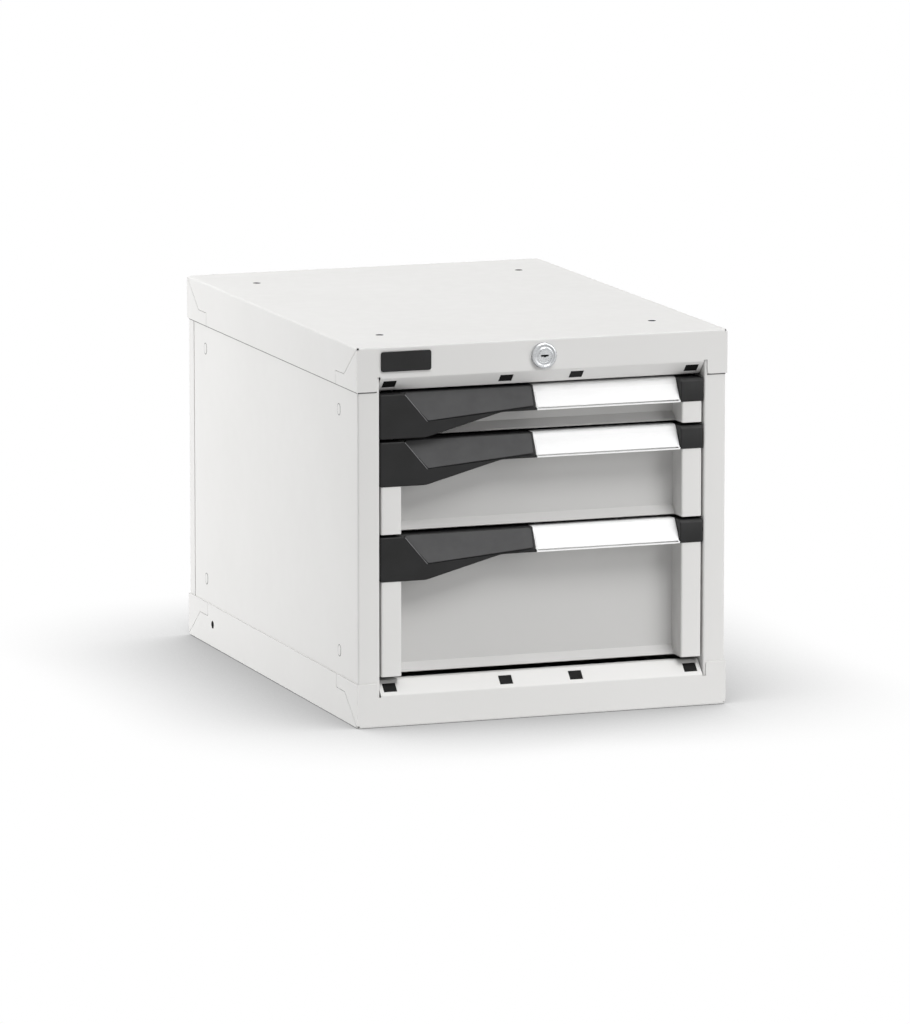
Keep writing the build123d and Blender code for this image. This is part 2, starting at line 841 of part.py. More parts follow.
with BuildPart() as lock_plug:
    plug_front = lock_dish - lock_ring_height
    with BuildSketch(facing(plug_front)):
        with Locations((0, lock_height)):
            Circle(lock_plug_radius)
    extrude(amount=plug_front - lock_body_length - cam_gap)
    with BuildSketch(facing(cam_depth)):
        with Locations((0, lock_height)):
            Rectangle(lock_tail_width, lock_tail_width)
    extrude(amount=-cam_thickness)
    with BuildSketch(facing(plug_front)):
        with Locations((0, lock_height)):
            SlotOverall(key_slot_width, key_slot_height)
        with Locations((0, lock_height - key_slot_height / 2)):
            Rectangle(key_ward_width, key_ward_height, align=(Align.CENTER, Align.CENTER))
    extrude(amount=-key_slot_depth, mode=Mode.SUBTRACT)
save(lock_plug, "lock_plug")

with BuildPart() as lock_cam:
    with BuildSketch(facing(cam_depth)):
        with Locations((-cam_throw / 2, lock_height - cam_rest_drop / 2)):
            SlotCenterToCenter(cam_radius, cam_width, rotation=90 - cam_swing / 2)
        with Locations((0, lock_height)):
            Rectangle(lock_tail_width + seat_gap * 2, lock_tail_width + seat_gap * 2, mode=Mode.SUBTRACT)
    extrude(amount=-cam_thickness)
    with BuildSketch(facing(cam_depth + cam_thickness)):
        with Locations((-cam_throw, lock_height - cam_rest_drop)):
            Circle(cam_pin_radius)
    extrude(amount=-(bar_thickness + cam_gap * 2))
save(lock_cam, "lock_cam")

with BuildPart() as lock_bar:
    slot_half = cam_pin_radius + bar_slot_gap
    plate_foot = bar_level - bar_thickness
    plate_crown = lock_height - cam_rest_drop + slot_half + bar_plate_edge
    slot_middle = lock_height - (cam_radius + cam_rest_drop) / 2
    slot_length = cam_radius - cam_rest_drop + slot_half * 2
    # the upright plate behind the cam, with a slot for its pin
    with BuildSketch(facing(bar_depth)):
        with Locations((-cam_throw, plate_foot)):
            Rectangle(
                (slot_half + bar_plate_edge) * 2,
                plate_crown - plate_foot,
                align=(Align.CENTER, Align.MIN),
            )
        with Locations((-cam_throw, slot_middle)):
            SlotOverall(slot_length, slot_half * 2, rotation=90, mode=Mode.SUBTRACT)
    extrude(amount=-bar_thickness)
    # the flat bar to the rear, and the comb that hangs from it behind the trays
    with BuildSketch(Plane.XY.offset(plate_foot)):
        with Locations((-cam_throw, depth(bar_depth))):
            Rectangle(
                bar_width,
                comb_depth + bar_thickness - bar_depth,
                align=(Align.CENTER, Align.MIN),
            )
    extrude(amount=bar_thickness)
    with BuildSketch(facing(comb_depth)):
        with Locations((-cam_throw, frame_height + comb_foot_level)):
            Rectangle(
                bar_width,
                bar_level - frame_height - comb_foot_level,
                align=(Align.CENTER, Align.MIN),
            )
        for name, level, height in drawers:
            with Locations((bar_edge_x - bar_width / 2, level + finger_level)):
                Rectangle(
                    finger_length + bar_width / 2,
                    finger_height,
                    align=(Align.MIN, Align.MIN),
                )
    extrude(amount=-bar_thickness)
save(lock_bar, "lock_bar")

with BuildPart() as lock_bar_guides:
    inner_half = cam_throw + bar_width / 2 + guide_side_gap
    outer_half = inner_half + guide_sheet
    ceiling = cabinet_height - shell_sheet
    shelf = bar_level - bar_thickness - running_gap
    for middle in (guide_front_depth, guide_rear_depth):
        with BuildSketch(facing(middle - guide_width / 2)):
            with Locations((0, ceiling)):
                Rectangle(outer_half * 2, ceiling - shelf + guide_sheet, align=(Align.CENTER, Align.MAX))
                Rectangle((outer_half + guide_foot) * 2, guide_sheet, align=(Align.CENTER, Align.MAX))
            with Locations((0, shelf)):
                Rectangle(
                    inner_half * 2,
                    ceiling - shelf,
                    align=(Align.CENTER, Align.MIN),
                    mode=Mode.SUBTRACT,
                )
        extrude(amount=-guide_width)
save(lock_bar_guides, "lock_bar_guides")
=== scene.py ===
# %% [markdown]
# # A bench cabinet with three drawers
# The real object is a box of folded sheet steel with a baked powder coat. Three drawers run in it on telescopic
# runners, each with a moulded black grip, a white label strip and an end cap, and one lock holds them all shut.
# The exact sizes come from the CAD model, which is loaded first and never changed. Blender adds what a drawing
# leaves out: softened edges, the grain of paint and plastic, small fixings, light and a camera.

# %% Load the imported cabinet
import json
from math import cos, pi, radians, sin

import bmesh
import bpy
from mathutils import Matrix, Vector

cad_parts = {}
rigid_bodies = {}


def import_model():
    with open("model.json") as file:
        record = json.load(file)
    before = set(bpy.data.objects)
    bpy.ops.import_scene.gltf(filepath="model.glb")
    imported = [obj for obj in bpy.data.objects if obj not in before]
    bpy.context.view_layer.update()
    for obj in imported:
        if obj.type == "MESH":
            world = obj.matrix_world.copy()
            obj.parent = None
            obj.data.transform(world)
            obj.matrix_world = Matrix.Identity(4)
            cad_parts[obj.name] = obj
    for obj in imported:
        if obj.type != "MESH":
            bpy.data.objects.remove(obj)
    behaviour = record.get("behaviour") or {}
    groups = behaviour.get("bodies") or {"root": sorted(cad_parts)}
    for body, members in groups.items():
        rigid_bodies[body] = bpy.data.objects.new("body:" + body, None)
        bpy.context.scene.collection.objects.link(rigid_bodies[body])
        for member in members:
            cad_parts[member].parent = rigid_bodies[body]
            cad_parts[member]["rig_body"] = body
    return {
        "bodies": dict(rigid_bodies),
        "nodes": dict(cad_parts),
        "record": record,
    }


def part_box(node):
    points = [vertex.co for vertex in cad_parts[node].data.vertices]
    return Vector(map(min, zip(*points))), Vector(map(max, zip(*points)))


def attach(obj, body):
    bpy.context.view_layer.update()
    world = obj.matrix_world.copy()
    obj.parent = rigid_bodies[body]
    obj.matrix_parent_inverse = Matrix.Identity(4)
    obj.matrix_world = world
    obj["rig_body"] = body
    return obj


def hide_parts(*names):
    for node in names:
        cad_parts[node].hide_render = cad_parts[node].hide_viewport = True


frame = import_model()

scene = bpy.context.scene
of_the_frame = set(frame["nodes"].values()) | set(frame["bodies"].values())
for leftover in [thing for thing in bpy.data.objects if thing not in of_the_frame]:
    bpy.data.objects.remove(leftover)
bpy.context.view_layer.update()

# %% [markdown]
# ## The camera
# A product photograph like this is taken from far away with a long lens, so that the edges of the box hardly
# converge. The direction, the lens and the distance were found by fitting the corners of the box to the picture.
# A camera could also be set by eye, but a fitted one lets every later difference be blamed on the model. It is placed
# from the middle of the cabinet, which the CAD boxes of the base and the cover give.


# %% Place the camera
def linked(name, data):
    """A new object with this data, put into the scene."""
    thing = bpy.data.objects.new(name, data)
    scene.collection.objects.link(thing)
    return thing


azimuth = radians(-19.6805)
elevation = radians(9.7133)
camera_distance = 8.6884
lens_length = 283.78  # in millimetres, as the sensor's width is
sensor_width = 36
view_limit = 100  # in metres
aim_rightward = 0.0042087
aim_downward = 0.0285396
backward = Vector((sin(azimuth) * cos(elevation), -cos(azimuth) * cos(elevation), sin(elevation)))
rightward = Vector((cos(azimuth), sin(azimuth), 0))
upward = backward.cross(rightward)
cabinet_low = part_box("base_tray")[0]
cabinet_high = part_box("top_cover")[1]
cabinet_middle = (cabinet_low + cabinet_high) / 2
aim = cabinet_middle + rightward * aim_rightward - upward * aim_downward

camera = linked("camera", bpy.data.cameras.new("camera"))
camera.data.lens = lens_length
camera.data.sensor_width = sensor_width
camera.data.clip_end = view_limit
camera.location = aim + backward * camera_distance
camera.rotation_mode = "QUATERNION"
camera.rotation_quaternion = (-backward).to_track_quat("-Z", "Y")
scene.camera = camera
scene.view_settings.view_transform = "Standard"
print("camera at", tuple(round(x, 3) for x in camera.location))

# %% [markdown]
# ## The studio
# Pale objects are lit in something close to a white tent. Light comes from straight above, from a lamp in front and
# from soft boxes on the left and the right, and the white paper below throws it back up. The grips then shade the
# recesses under them, while the lips that face the ground stay pale. Two wide suns stand for the light from above and
# from the front, because they light every piece evenly. The levels were found by rendering each light alone and
# weighing them against the tones of the paint in the picture. The camera and shiny surfaces see a plain white world,
# which lights nothing else.


# %% Put up the white world
def either(tree, first, second):
    """A value that is 1 for a ray of one kind or of the other."""
    larger = tree.nodes.new("ShaderNodeMath")
    larger.operation = "MAXIMUM"
    tree.links.new(first, larger.inputs[0])
    tree.links.new(second, larger.inputs[1])
    return larger.outputs[0]


world = bpy.data.worlds.new("white_tent")
scene.world = world
world.use_nodes = True
sky = world.node_tree
white_wall = sky.nodes["Background"]
white_wall.inputs["Color"].default_value = (1, 1, 1, 1)
ray = sky.nodes.new("ShaderNodeLightPath").outputs
seen_or_mirrored = either(sky, ray["Is Camera Ray"], ray["Is Glossy Ray"])
seen_at_all = either(sky, seen_or_mirrored, ray["Is Transmission Ray"])
sky.links.new(seen_at_all, white_wall.inputs["Strength"])
print("white world, seen but not lighting")


# %% Set up the lamps
def aimed(lamp, towards):
    """Turn a lamp so that it shines along a direction."""
    lamp.rotation_mode = "QUATERNION"
    lamp.rotation_quaternion = towards.to_track_quat("-Z", "Y")


suns = {  # azimuth from the front, elevation and width in degrees, strength
    "overhead_light": (0, 85, 60, 1.68),
    "front_light": (12, 52, 25, 1.57),
}
for name, (turn, rise, width, strength) in suns.items():
    lamp = linked(name, bpy.data.lights.new(name, "SUN"))
    lamp.data.energy = strength
    lamp.data.angle = radians(width)
    across = cos(radians(rise))
    aimed(lamp, Vector((-sin(radians(turn)) * across, cos(radians(turn)) * across, -sin(radians(rise)))))
soft_boxes = {  # place and width in metres, power in watts
    "left_soft_box": ((-1.9, 1.2, 0.8), 1.2, 35.7),
    "right_soft_box": ((1.1, -1.5, 0.75), 0.8, 7.0),
}
for name, (place, width, power) in soft_boxes.items():
    lamp = linked(name, bpy.data.lights.new(name, "AREA"))
    lamp.data.shape = "DISK"
    lamp.data.size = width
    lamp.data.energy = power
    lamp.location = place
    aimed(lamp, cabinet_middle - lamp.location)
print("lamps", [*suns, *soft_boxes])

# %% [markdown]
# ## The floor
# The floor is a sheet of white paper. The camera sees how much of the tent each spot of the paper can see, as the
# Ambient Occlusion node measures it: white where it is open, grey where the cabinet stands close, which is the soft
# shadow. Away from the cabinet that is the same white as the world, so the edge of the paper can't show. To all other
# rays the paper is an even glow, which is the light it throws back up under the edges.

# %% Lay the floor
floor_radius = 2.5
floor_drop = 0.0003
floor_corners = 128
paper = bmesh.new()
bmesh.ops.create_circle(paper, cap_ends=True, segments=floor_corners, radius=floor_radius)
bmesh.ops.translate(paper, verts=paper.verts, vec=(0, 0, -floor_drop))
floor_mesh = bpy.data.meshes.new("studio_floor")
paper.to_mesh(floor_mesh)
paper.free()
floor = linked("studio_floor", floor_mesh)
print("floor of", floor_radius, "m")

# %% Make the paper
shadow_reach = 0.24
shadow_samples = 16
floor_glow = 0.96
floor_paper = bpy.data.materials.new("white_floor_paper")
floor_paper.use_nodes = True
tree = floor_paper.node_tree
tree.nodes.remove(tree.nodes["Principled BSDF"])
open_sky = tree.nodes.new("ShaderNodeAmbientOcclusion")
open_sky.samples = shadow_samples
open_sky.inputs["Distance"].default_value = shadow_reach
seen_paper = tree.nodes.new("ShaderNodeEmission")
glow = tree.nodes.new("ShaderNodeEmission")
glow.inputs["Strength"].default_value = floor_glow
paper_ray = tree.nodes.new("ShaderNodeLightPath").outputs
seen_or_glow = tree.nodes.new("ShaderNodeMixShader")
tree.links.new(open_sky.outputs["AO"], seen_paper.inputs["Color"])
tree.links.new(either(tree, paper_ray["Is Camera Ray"], paper_ray["Is Glossy Ray"]), seen_or_glow.inputs[0])
tree.links.new(glow.outputs[0], seen_or_glow.inputs[1])
tree.links.new(seen_paper.outputs[0], seen_or_glow.inputs[2])
tree.links.new(seen_or_glow.outputs[0], tree.nodes["Material Output"].inputs["Surface"])
floor_mesh.materials.append(floor_paper)
print("made", floor_paper.name, "with a shadow that reaches", shadow_reach, "m")

# %% [markdown]
# ## Building blocks for the finishes
# Every finish below is made from the same few nodes: a noise on the object's own coordinates, a ramp that turns it
# into two close colours, a range that turns it into a roughness, and a bump. Object coordinates are in metres here,
# so a noise scale of 500 means grains of about two millimetres, which makes it easy to keep grain at its real size.

# %% Helpers for the finishes
noise_low, noise_high = 0.3, 0.7  # nearly all of a noise lies between these


def new_finish(name, specular=0.5, metallic=0.0):
    """A material with one shader, and the coordinates that its patterns read."""
    finish = bpy.data.materials.new(name)
    finish.use_nodes = True
    tree = finish.node_tree
    shader = tree.nodes["Principled BSDF"]
    shader.inputs["Specular IOR Level"].default_value = specular
    shader.inputs["Metallic"].default_value = metallic
    coords = tree.nodes.new("ShaderNodeTexCoord").outputs["Object"]
    return finish, tree, shader, coords


def grain(tree, coords, scale, detail=2.0, axis_factors=(1, 1, 1)):
    """A noise from 0 to 1 whose cells are one metre divided by scale, and longer along an axis with a small factor."""
    mapping = tree.nodes.new("ShaderNodeMapping")
    mapping.inputs["Scale"].default_value = axis_factors
    noise = tree.nodes.new("ShaderNodeTexNoise")
    noise.inputs["Scale"].default_value = scale
    noise.inputs["Detail"].default_value = detail
    tree.links.new(coords, mapping.inputs["Vector"])
    tree.links.new(mapping.outputs["Vector"], noise.inputs["Vector"])
    return noise.outputs["Fac"]


def tint(tree, shader, amount, dark, light):
    """Colour the shader between two close colours."""
    ramp = tree.nodes.new("ShaderNodeValToRGB")
    ramp.color_ramp.elements[0].position = noise_low
    ramp.color_ramp.elements[1].position = noise_high
    ramp.color_ramp.elements[0].color = (*dark, 1)
    ramp.color_ramp.elements[1].color = (*light, 1)
    tree.links.new(amount, ramp.inputs["Fac"])
    tree.links.new(ramp.outputs["Color"], shader.inputs["Base Color"])


def gloss(tree, shader, amount, low, high):
    """Let the roughness wander between two values."""
    span = tree.nodes.new("ShaderNodeMapRange")
    span.inputs["From Min"].default_value = noise_low
    span.inputs["From Max"].default_value = noise_high
    span.inputs["To Min"].default_value = low
    span.inputs["To Max"].default_value = high
    tree.links.new(amount, span.inputs["Value"])
    tree.links.new(span.outputs["Result"], shader.inputs["Roughness"])


def relief(tree, shader, height, strength, depth, under=None):
    """Raise the surface by a pattern, on top of an earlier relief where there is one."""
    bump = tree.nodes.new("ShaderNodeBump")
    bump.inputs["Strength"].default_value = strength
    bump.inputs["Distance"].default_value = depth
    tree.links.new(height, bump.inputs["Height"])
    if under is not None:
        tree.links.new(under, bump.inputs["Normal"])
    tree.links.new(bump.outputs["Normal"], shader.inputs["Normal"])
    return bump.outputs["Normal"]


# %% [markdown]
# ## Powder coat
# The steel is sprayed with a light grey polyester powder that melts in an oven. It flows into a satin skin with a
# faint orange peel of one to three millimetres and, finer than that, a slight texture that keeps it from looking
# like lacquer. Four noises stand for the drift in tone, the drift in gloss, the peel and the fine texture. The finger
# recesses look greyer in the picture than these lamps make them, so a second, darker tone of the same finish is
# painted into them as shade.


# %% Mix the powder coat and the painted shade of the recesses
def powder_coat(name, dark, light):
    """A satin powder coat whose tone drifts between two colours."""
    finish, tree, shader, coords = new_finish(name, specular=0.35)
    tint(tree, shader, grain(tree, coords, 9), dark, light)
    gloss(tree, shader, grain(tree, coords, 60), low=0.42, high=0.52)
    peel = relief(tree, shader, grain(tree, coords, 420), strength=0.10, depth=0.0004)
    relief(tree, shader, grain(tree, coords, 2400, detail=1), strength=0.10, depth=0.0001, under=peel)
    print("made", finish.name)
    return finish


paint = powder_coat("light_grey_powder_coat", dark=(0.699, 0.694, 0.682), light=(0.713, 0.708, 0.697))
# The second tone is the same paint made darker: it is painted shade for the finger recesses.
recess_shade_paint = powder_coat("thin_powder_coat", dark=(0.555, 0.551, 0.542), light=(0.566, 0.562, 0.553))

# %% [markdown]
# ## Moulded plastics
# The grips, end caps and plugs are injection moulded in black with a spark-eroded grain, which scatters light and
# keeps finger marks out of sight. The pad in the grip is a softer dark grey plastic, a little smoother, and a lighter
# grey along its edge is a painted highlight. The label strip is a clear-white extruded profile with a smooth skin,
# drawn out along its length, and the shoes of the runners are natural nylon. Each has a noise for its tone, its gloss
# and its grain.

# %% Mix the black and grey plastics
moulded_black, tree, shader, coords = new_finish("moulded_black_plastic", specular=0.22)
tint(tree, shader, grain(tree, coords, 40), dark=(0.011, 0.011, 0.011), light=(0.015, 0.015, 0.0153))
gloss(tree, shader, grain(tree, coords, 130), low=0.42, high=0.56)
relief(tree, shader, grain(tree, coords, 1700, detail=1), strength=0.25, depth=0.00012)

soft_grey, tree, shader, coords = new_finish("soft_grey_pad", specular=0.28)
tint(tree, shader, grain(tree, coords, 55), dark=(0.042, 0.042, 0.043), light=(0.050, 0.050, 0.051))
gloss(tree, shader, grain(tree, coords, 160), low=0.44, high=0.54)
relief(tree, shader, grain(tree, coords, 2600, detail=1), strength=0.18, depth=0.00008)

# The same matt black is also painted shade, on the walls of the holes and in the open corner holes.
black_plugs_and_shade, tree, shader, coords = new_finish("matt_black_plugs", specular=0.12)
tint(tree, shader, grain(tree, coords, 60), dark=(0.005, 0.005, 0.005), light=(0.008, 0.008, 0.008))
gloss(tree, shader, grain(tree, coords, 200), low=0.55, high=0.68)
relief(tree, shader, grain(tree, coords, 1500, detail=1), strength=0.2, depth=0.0001)

# This lighter grey is a painted highlight for the edge of the pad.
pad_edge_highlight, tree, shader, coords = new_finish("polished_pad_edge", specular=0.45)
tint(tree, shader, grain(tree, coords, 70), dark=(0.16, 0.16, 0.165), light=(0.20, 0.20, 0.205))
gloss(tree, shader, grain(tree, coords, 160), low=0.30, high=0.40)
relief(tree, shader, grain(tree, coords, 2600, detail=1), strength=0.1, depth=0.00005)
print("made", [finish.name for finish in (moulded_black, soft_grey, black_plugs_and_shade, pad_edge_highlight)])

# %% Mix the pale plastics
gloss_along_strip = (0.1, 1, 1)
marks_along_strip = (0.03, 1, 1)
strip_white, tree, shader, coords = new_finish("white_label_strip", specular=0.4)
tint(tree, shader, grain(tree, coords, 20), dark=(0.90, 0.90, 0.90), light=(0.925, 0.925, 0.925))
gloss(tree, shader, grain(tree, coords, 90, axis_factors=gloss_along_strip), low=0.26, high=0.36)
relief(tree, shader, grain(tree, coords, 700, axis_factors=marks_along_strip), strength=0.06, depth=0.0001)

nylon, tree, shader, coords = new_finish("natural_nylon", specular=0.4)
tint(tree, shader, grain(tree, coords, 30), dark=(0.70, 0.69, 0.63), light=(0.76, 0.75, 0.70))
gloss(tree, shader, grain(tree, coords, 120), low=0.40, high=0.52)
relief(tree, shader, grain(tree, coords, 900, detail=1), strength=0.12, depth=0.0001)
print("made", [finish.name for finish in (strip_white, nylon)])

# %% [markdown]
# ## Card, zinc and chrome
# The blank label is matt white card with a trace of fibre. The runners, uprights and lock work are zinc plated
# steel, which shows rolling marks along the strip and small cloudy patches. The lock is turned brass with a satin
# chrome plate, so its fine marks run round the axis: the distance from the axis drives a wave of rings. The key slot
# is coloured near black, which is painted shade.

# %% Mix the card and the zinc
along_fibre = (0.3, 1, 1)
card_white, tree, shader, coords = new_finish("white_card", specular=0.2)
fibre = grain(tree, coords, 400, axis_factors=along_fibre)
tint(tree, shader, fibre, dark=(0.955, 0.955, 0.955), light=(0.975, 0.975, 0.975))
gloss(tree, shader, grain(tree, coords, 300), low=0.70, high=0.82)
relief(tree, shader, grain(tree, coords, 1800, axis_factors=along_fibre), strength=0.12, depth=0.00006)

along_rolling = (1, 0.04, 1)
zinc, tree, shader, coords = new_finish("zinc_plated_steel", metallic=1.0)
tint(tree, shader, grain(tree, coords, 45, detail=4), dark=(0.50, 0.51, 0.53), light=(0.60, 0.61, 0.63))
gloss(tree, shader, grain(tree, coords, 110, detail=3), low=0.30, high=0.44)
relief(tree, shader, grain(tree, coords, 1100, axis_factors=along_rolling), strength=0.12, depth=0.00008)
print("made", [finish.name for finish in (card_white, zinc)])

# %% Mix the finishes of the lock
plug_low, plug_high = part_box("lock_plug")
lock_axis_height = (plug_low.z + plug_high.z) / 2
chrome, tree, shader, coords = new_finish("satin_chrome", metallic=1.0)
tint(tree, shader, grain(tree, coords, 140), dark=(0.46, 0.47, 0.48), light=(0.54, 0.55, 0.56))
gloss(tree, shader, grain(tree, coords, 500), low=0.24, high=0.34)
centred = tree.nodes.new("ShaderNodeMapping")
centred.inputs["Location"].default_value = (0, 0, -lock_axis_height)
rings = tree.nodes.new("ShaderNodeTexWave")
rings.wave_type = "RINGS"
rings.rings_direction = "Y"
rings.inputs["Scale"].default_value = 900
rings.inputs["Distortion"].default_value = 0.6
tree.links.new(coords, centred.inputs["Vector"])
tree.links.new(centred.outputs["Vector"], rings.inputs["Vector"])
relief(tree, shader, rings.outputs["Fac"], strength=0.10, depth=0.00005)

keyway_shade, tree, shader, coords = new_finish("oiled_keyway", specular=0.3)
tint(tree, shader, grain(tree, coords, 900), dark=(0.006, 0.006, 0.006), light=(0.014, 0.013, 0.012))
gloss(tree, shader, grain(tree, coords, 600), low=0.35, high=0.55)
print("made", [finish.name for finish in (chrome, keyway_shade)], "for a lock at", round(lock_axis_height, 4), "m")

# %% [markdown]
# ## Softened edges
# No edge on a pressed or moulded piece is razor sharp, and the thin highlight that runs along it is what tells the
# eye how thick the sheet is. The CAD mesh itself is left alone: a copy of it is merged, because it comes as loose
# triangles, its flat faces are joined up, and a Bevel modifier then rounds every fold sharper than an angle. The
# modifier takes less than the radius where a piece has short edges, so on the folded sheets only a hair of it is left.

# %% Helpers that soften a CAD piece
finish_of_slot = {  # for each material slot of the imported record
    "body_paint": paint,
    "zinc_steel": zinc,
    "black_plastic": moulded_black,
    "white_plastic": strip_white,
    "grey_pad": soft_grey,
    "label_card": card_white,
    "nylon": nylon,
    "lock_chrome": chrome,
}
slot_of = {part["node"]: part["material_slot"] for part in frame["record"]["subparts"]}
weld_distance = 2e-6
flat_angle = radians(0.3)
fold_angle = radians(32)


def merged_copy(node):
    """The mesh of a CAD node with its triangles joined and its flat faces made whole."""
    solid = bmesh.new()
    solid.from_mesh(frame["nodes"][node].data)
    bmesh.ops.remove_doubles(solid, verts=solid.verts, dist=weld_distance)
    bmesh.ops.dissolve_limit(solid, angle_limit=flat_angle, verts=solid.verts, edges=solid.edges)
    mesh = bpy.data.meshes.new(node)
    solid.to_mesh(mesh)
    solid.free()
    if "custom_normal" in mesh.attributes:
        mesh.attributes.remove(mesh.attributes["custom_normal"])
    return mesh


def stands_for(piece, node, finish=None):
    """Let a piece take the place, the motion and the finish of a CAD node."""
    piece.data.materials.clear()
    piece.data.materials.append(finish or finish_of_slot[slot_of[node]])
    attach(piece, frame["nodes"][node]["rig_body"])
    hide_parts(node)
    return piece


def softened(node, radius, mesh=None, finish=None):
    """A copy of a CAD node, or of a mesh cut from it, with its edges rounded to a radius."""
    piece = linked(f"{node}_softened", mesh or merged_copy(node))
    piece.data.shade_smooth()
    bevel = piece.modifiers.new("soft_edges", "BEVEL")
    bevel.width = radius
    bevel.segments = 2
    bevel.limit_method = "ANGLE"
    bevel.angle_limit = fold_angle
    bevel.harden_normals = True
    return stands_for(piece, node, finish)


# %% Soften the sheet metal and the mouldings
drawer_names = ("bottom", "middle", "top")
edge_radius = {"top_cover": 0.0005, "base_tray": 0.0005, "badge_plate": 0.0005}
for side in ("left_side", "right_side", "rear"):
    edge_radius[f"{side}_panel"] = 0.0003
for drawer in drawer_names:
    edge_radius[f"{drawer}_drawer_front"] = 0.00003
    edge_radius[f"{drawer}_handle_grip"] = 0.0006
    edge_radius[f"{drawer}_grip_pad"] = 0.0007
    edge_radius[f"{drawer}_end_cap"] = 0.0002
for node, radius in edge_radius.items():
    softened(node, radius)
softened("frame_plugs", radius=0.00015, finish=black_plugs_and_shade)
print("softened", len(edge_radius) + 1, "pieces")

# %% [markdown]
# ## Faces with painted shade
# A mesh can carry several materials, and each face has the number of the one it shows. The faces of a finger recess
# lie some millimetres behind the front of the cabinet, so their depth picks them out, and they take the darker tone
# of the paint, which is painted shade. The cover and the base have four bolt holes each, and low at the rear a hole
# goes through the base and the wall on each side. The picture shows these holes nearly black, and the walls of the
# holes are coloured matt black, which is painted shade. The faces of their walls lie round the axes of the holes and
# don't face along them, and the mounts in the imported record say where the axes are.


# %% Paint shade into the finger recesses
def refinished(node, finish, wanted):
    """Show a second finish on those faces of a softened piece that are wanted."""
    mesh = bpy.data.objects[f"{node}_softened"].data
    mesh.materials.append(finish)
    picked = [face for face in mesh.polygons if wanted(face)]
    for face in picked:
        face.material_index = len(mesh.materials) - 1
    print(node, "with", len(picked), "faces of", finish.name)


front_face = cabinet_low.y
margin_depth = 0.006  # the flat margins of a drawer front lie in front of this depth, and its recess behind it


def in_recess(face):
    """Whether a face of a drawer front is part of its recess."""
    return face.center.y > front_face + margin_depth


# The recess faces take the darker tone, which is painted shade.
for drawer in drawer_names:
    refinished(f"{drawer}_drawer_front", recess_shade_paint, in_recess)

# %% Paint shade onto the walls of the holes
millimetre = 0.001
hole_margin = 0.00025
mostly_across = 0.5  # a normal with less than this along an axis points mostly across it
mounts = {mount["name"]: mount for mount in frame["record"]["mounts"]}
side_hole = Vector(mounts["left_side_hole"]["pos_m"]).yz
bolts = mounts["top_bolts"]["dims"]
bolt_hole = Vector((bolts["spacing_x_mm"], bolts["spacing_y_mm"])) * millimetre / 2
hole_reach = bolts["hole_r_mm"] * millimetre + hole_margin


def in_hole(face):
    """Whether a face is part of the wall of a side hole or a bolt hole."""
    from_side_hole = (face.center.yz - side_hole).length
    from_bolt_hole = (Vector((abs(face.center.x), abs(face.center.y))) - bolt_hole).length
    in_side_hole = from_side_hole < hole_reach and abs(face.normal.x) < mostly_across
    in_bolt_hole = from_bolt_hole < hole_reach and abs(face.normal.z) < mostly_across
    return in_side_hole or in_bolt_hole


# The walls of the holes take the matt black, which is painted shade.
for node in ("top_cover", "base_tray", "left_side_panel", "right_side_panel"):
    refinished(node, black_plugs_and_shade, in_hole)

# %% [markdown]
# ## The lock
# A cam lock is turned on a lathe, so its face is a profile spun round an axis: a rounded rim, a narrow groove, a
# dished ring and the bore for the plug. The Screw modifier could spin it, but writing the rings of points directly
# keeps the mesh even and closed. The plug keeps its CAD shape, because its key slot is exact there.

# %% Turn the lock barrel
lathe_steps = 96
crease_angle = radians(50)
barrel_profile = [  # radius, and depth behind the front face, in millimetres
    (7.06, 22.0), (9.9, 22.0), (9.9, 0.0), (13.75, 0.0), (13.75, -2.7), (13.6, -3.3), (13.2, -3.9), (12.6, -4.3),
    (11.9, -4.5), (11.2, -4.5), (10.9, -4.4), (10.7, -4.1), (10.5, -3.5), (10.2, -3.2), (9.6, -3.1), (9.0, -3.15),
    (8.4, -3.4), (8.1, -3.7), (7.8, -3.9), (7.4, -3.9), (7.15, -3.75), (7.06, -3.5),
]
lathe = bmesh.new()
hoops = []
for radius, depth in barrel_profile:
    hoop = []
    for step in range(lathe_steps):
        turn = 2 * pi * step / lathe_steps
        x = radius * millimetre * sin(turn)
        z = lock_axis_height + radius * millimetre * cos(turn)
        hoop.append(lathe.verts.new((x, front_face + depth * millimetre, z)))
    hoops.append(hoop)
for hoop, following in zip(hoops, hoops[1:] + hoops[:1]):
    for step in range(lathe_steps):
        after = (step + 1) % lathe_steps
        lathe.faces.new((hoop[step], hoop[after], following[after], following[step]))
bmesh.ops.recalc_face_normals(lathe, faces=lathe.faces)
barrel_mesh = bpy.data.meshes.new("lock_barrel_turned")
lathe.to_mesh(barrel_mesh)
lathe.free()
barrel_mesh.shade_smooth()
barrel_mesh.set_sharp_from_angle(angle=crease_angle)
stands_for(linked("lock_barrel_turned", barrel_mesh), "lock_barrel")
print("lock barrel of", len(barrel_mesh.polygons), "faces")

# %% Finish the lock plug, with painted shade in its key slot
keyway_reach = 0.006  # from the axis
keyway_start = 0.0005  # behind the front of the plug
keyway_end = 0.02


def in_keyway(face):
    """Whether a face lies inside the key slot."""
    off_axis = Vector((face.center.x, face.center.z - lock_axis_height)).length
    return off_axis < keyway_reach and keyway_start < face.center.y - plug_low.y < keyway_end


softened("lock_plug", radius=0.0002)
# The faces inside the key slot take a near-black finish, which is painted shade.
refinished("lock_plug", keyway_shade, in_keyway)

# %% [markdown]
# ## Fixings, with Geometry Nodes
# The sides are held to the uprights by flat heads that are a little higher than wide, two high and two deep on each
# side, and the rear wall by round ones. A Geometry Nodes tree makes one head as the hull round two discs, puts it on
# a grid of points and turns the grid to the face. Its sizes are named inputs, and without stretch the head is round.
# A thin dark disc under each head is painted shade for the gap round its rim.


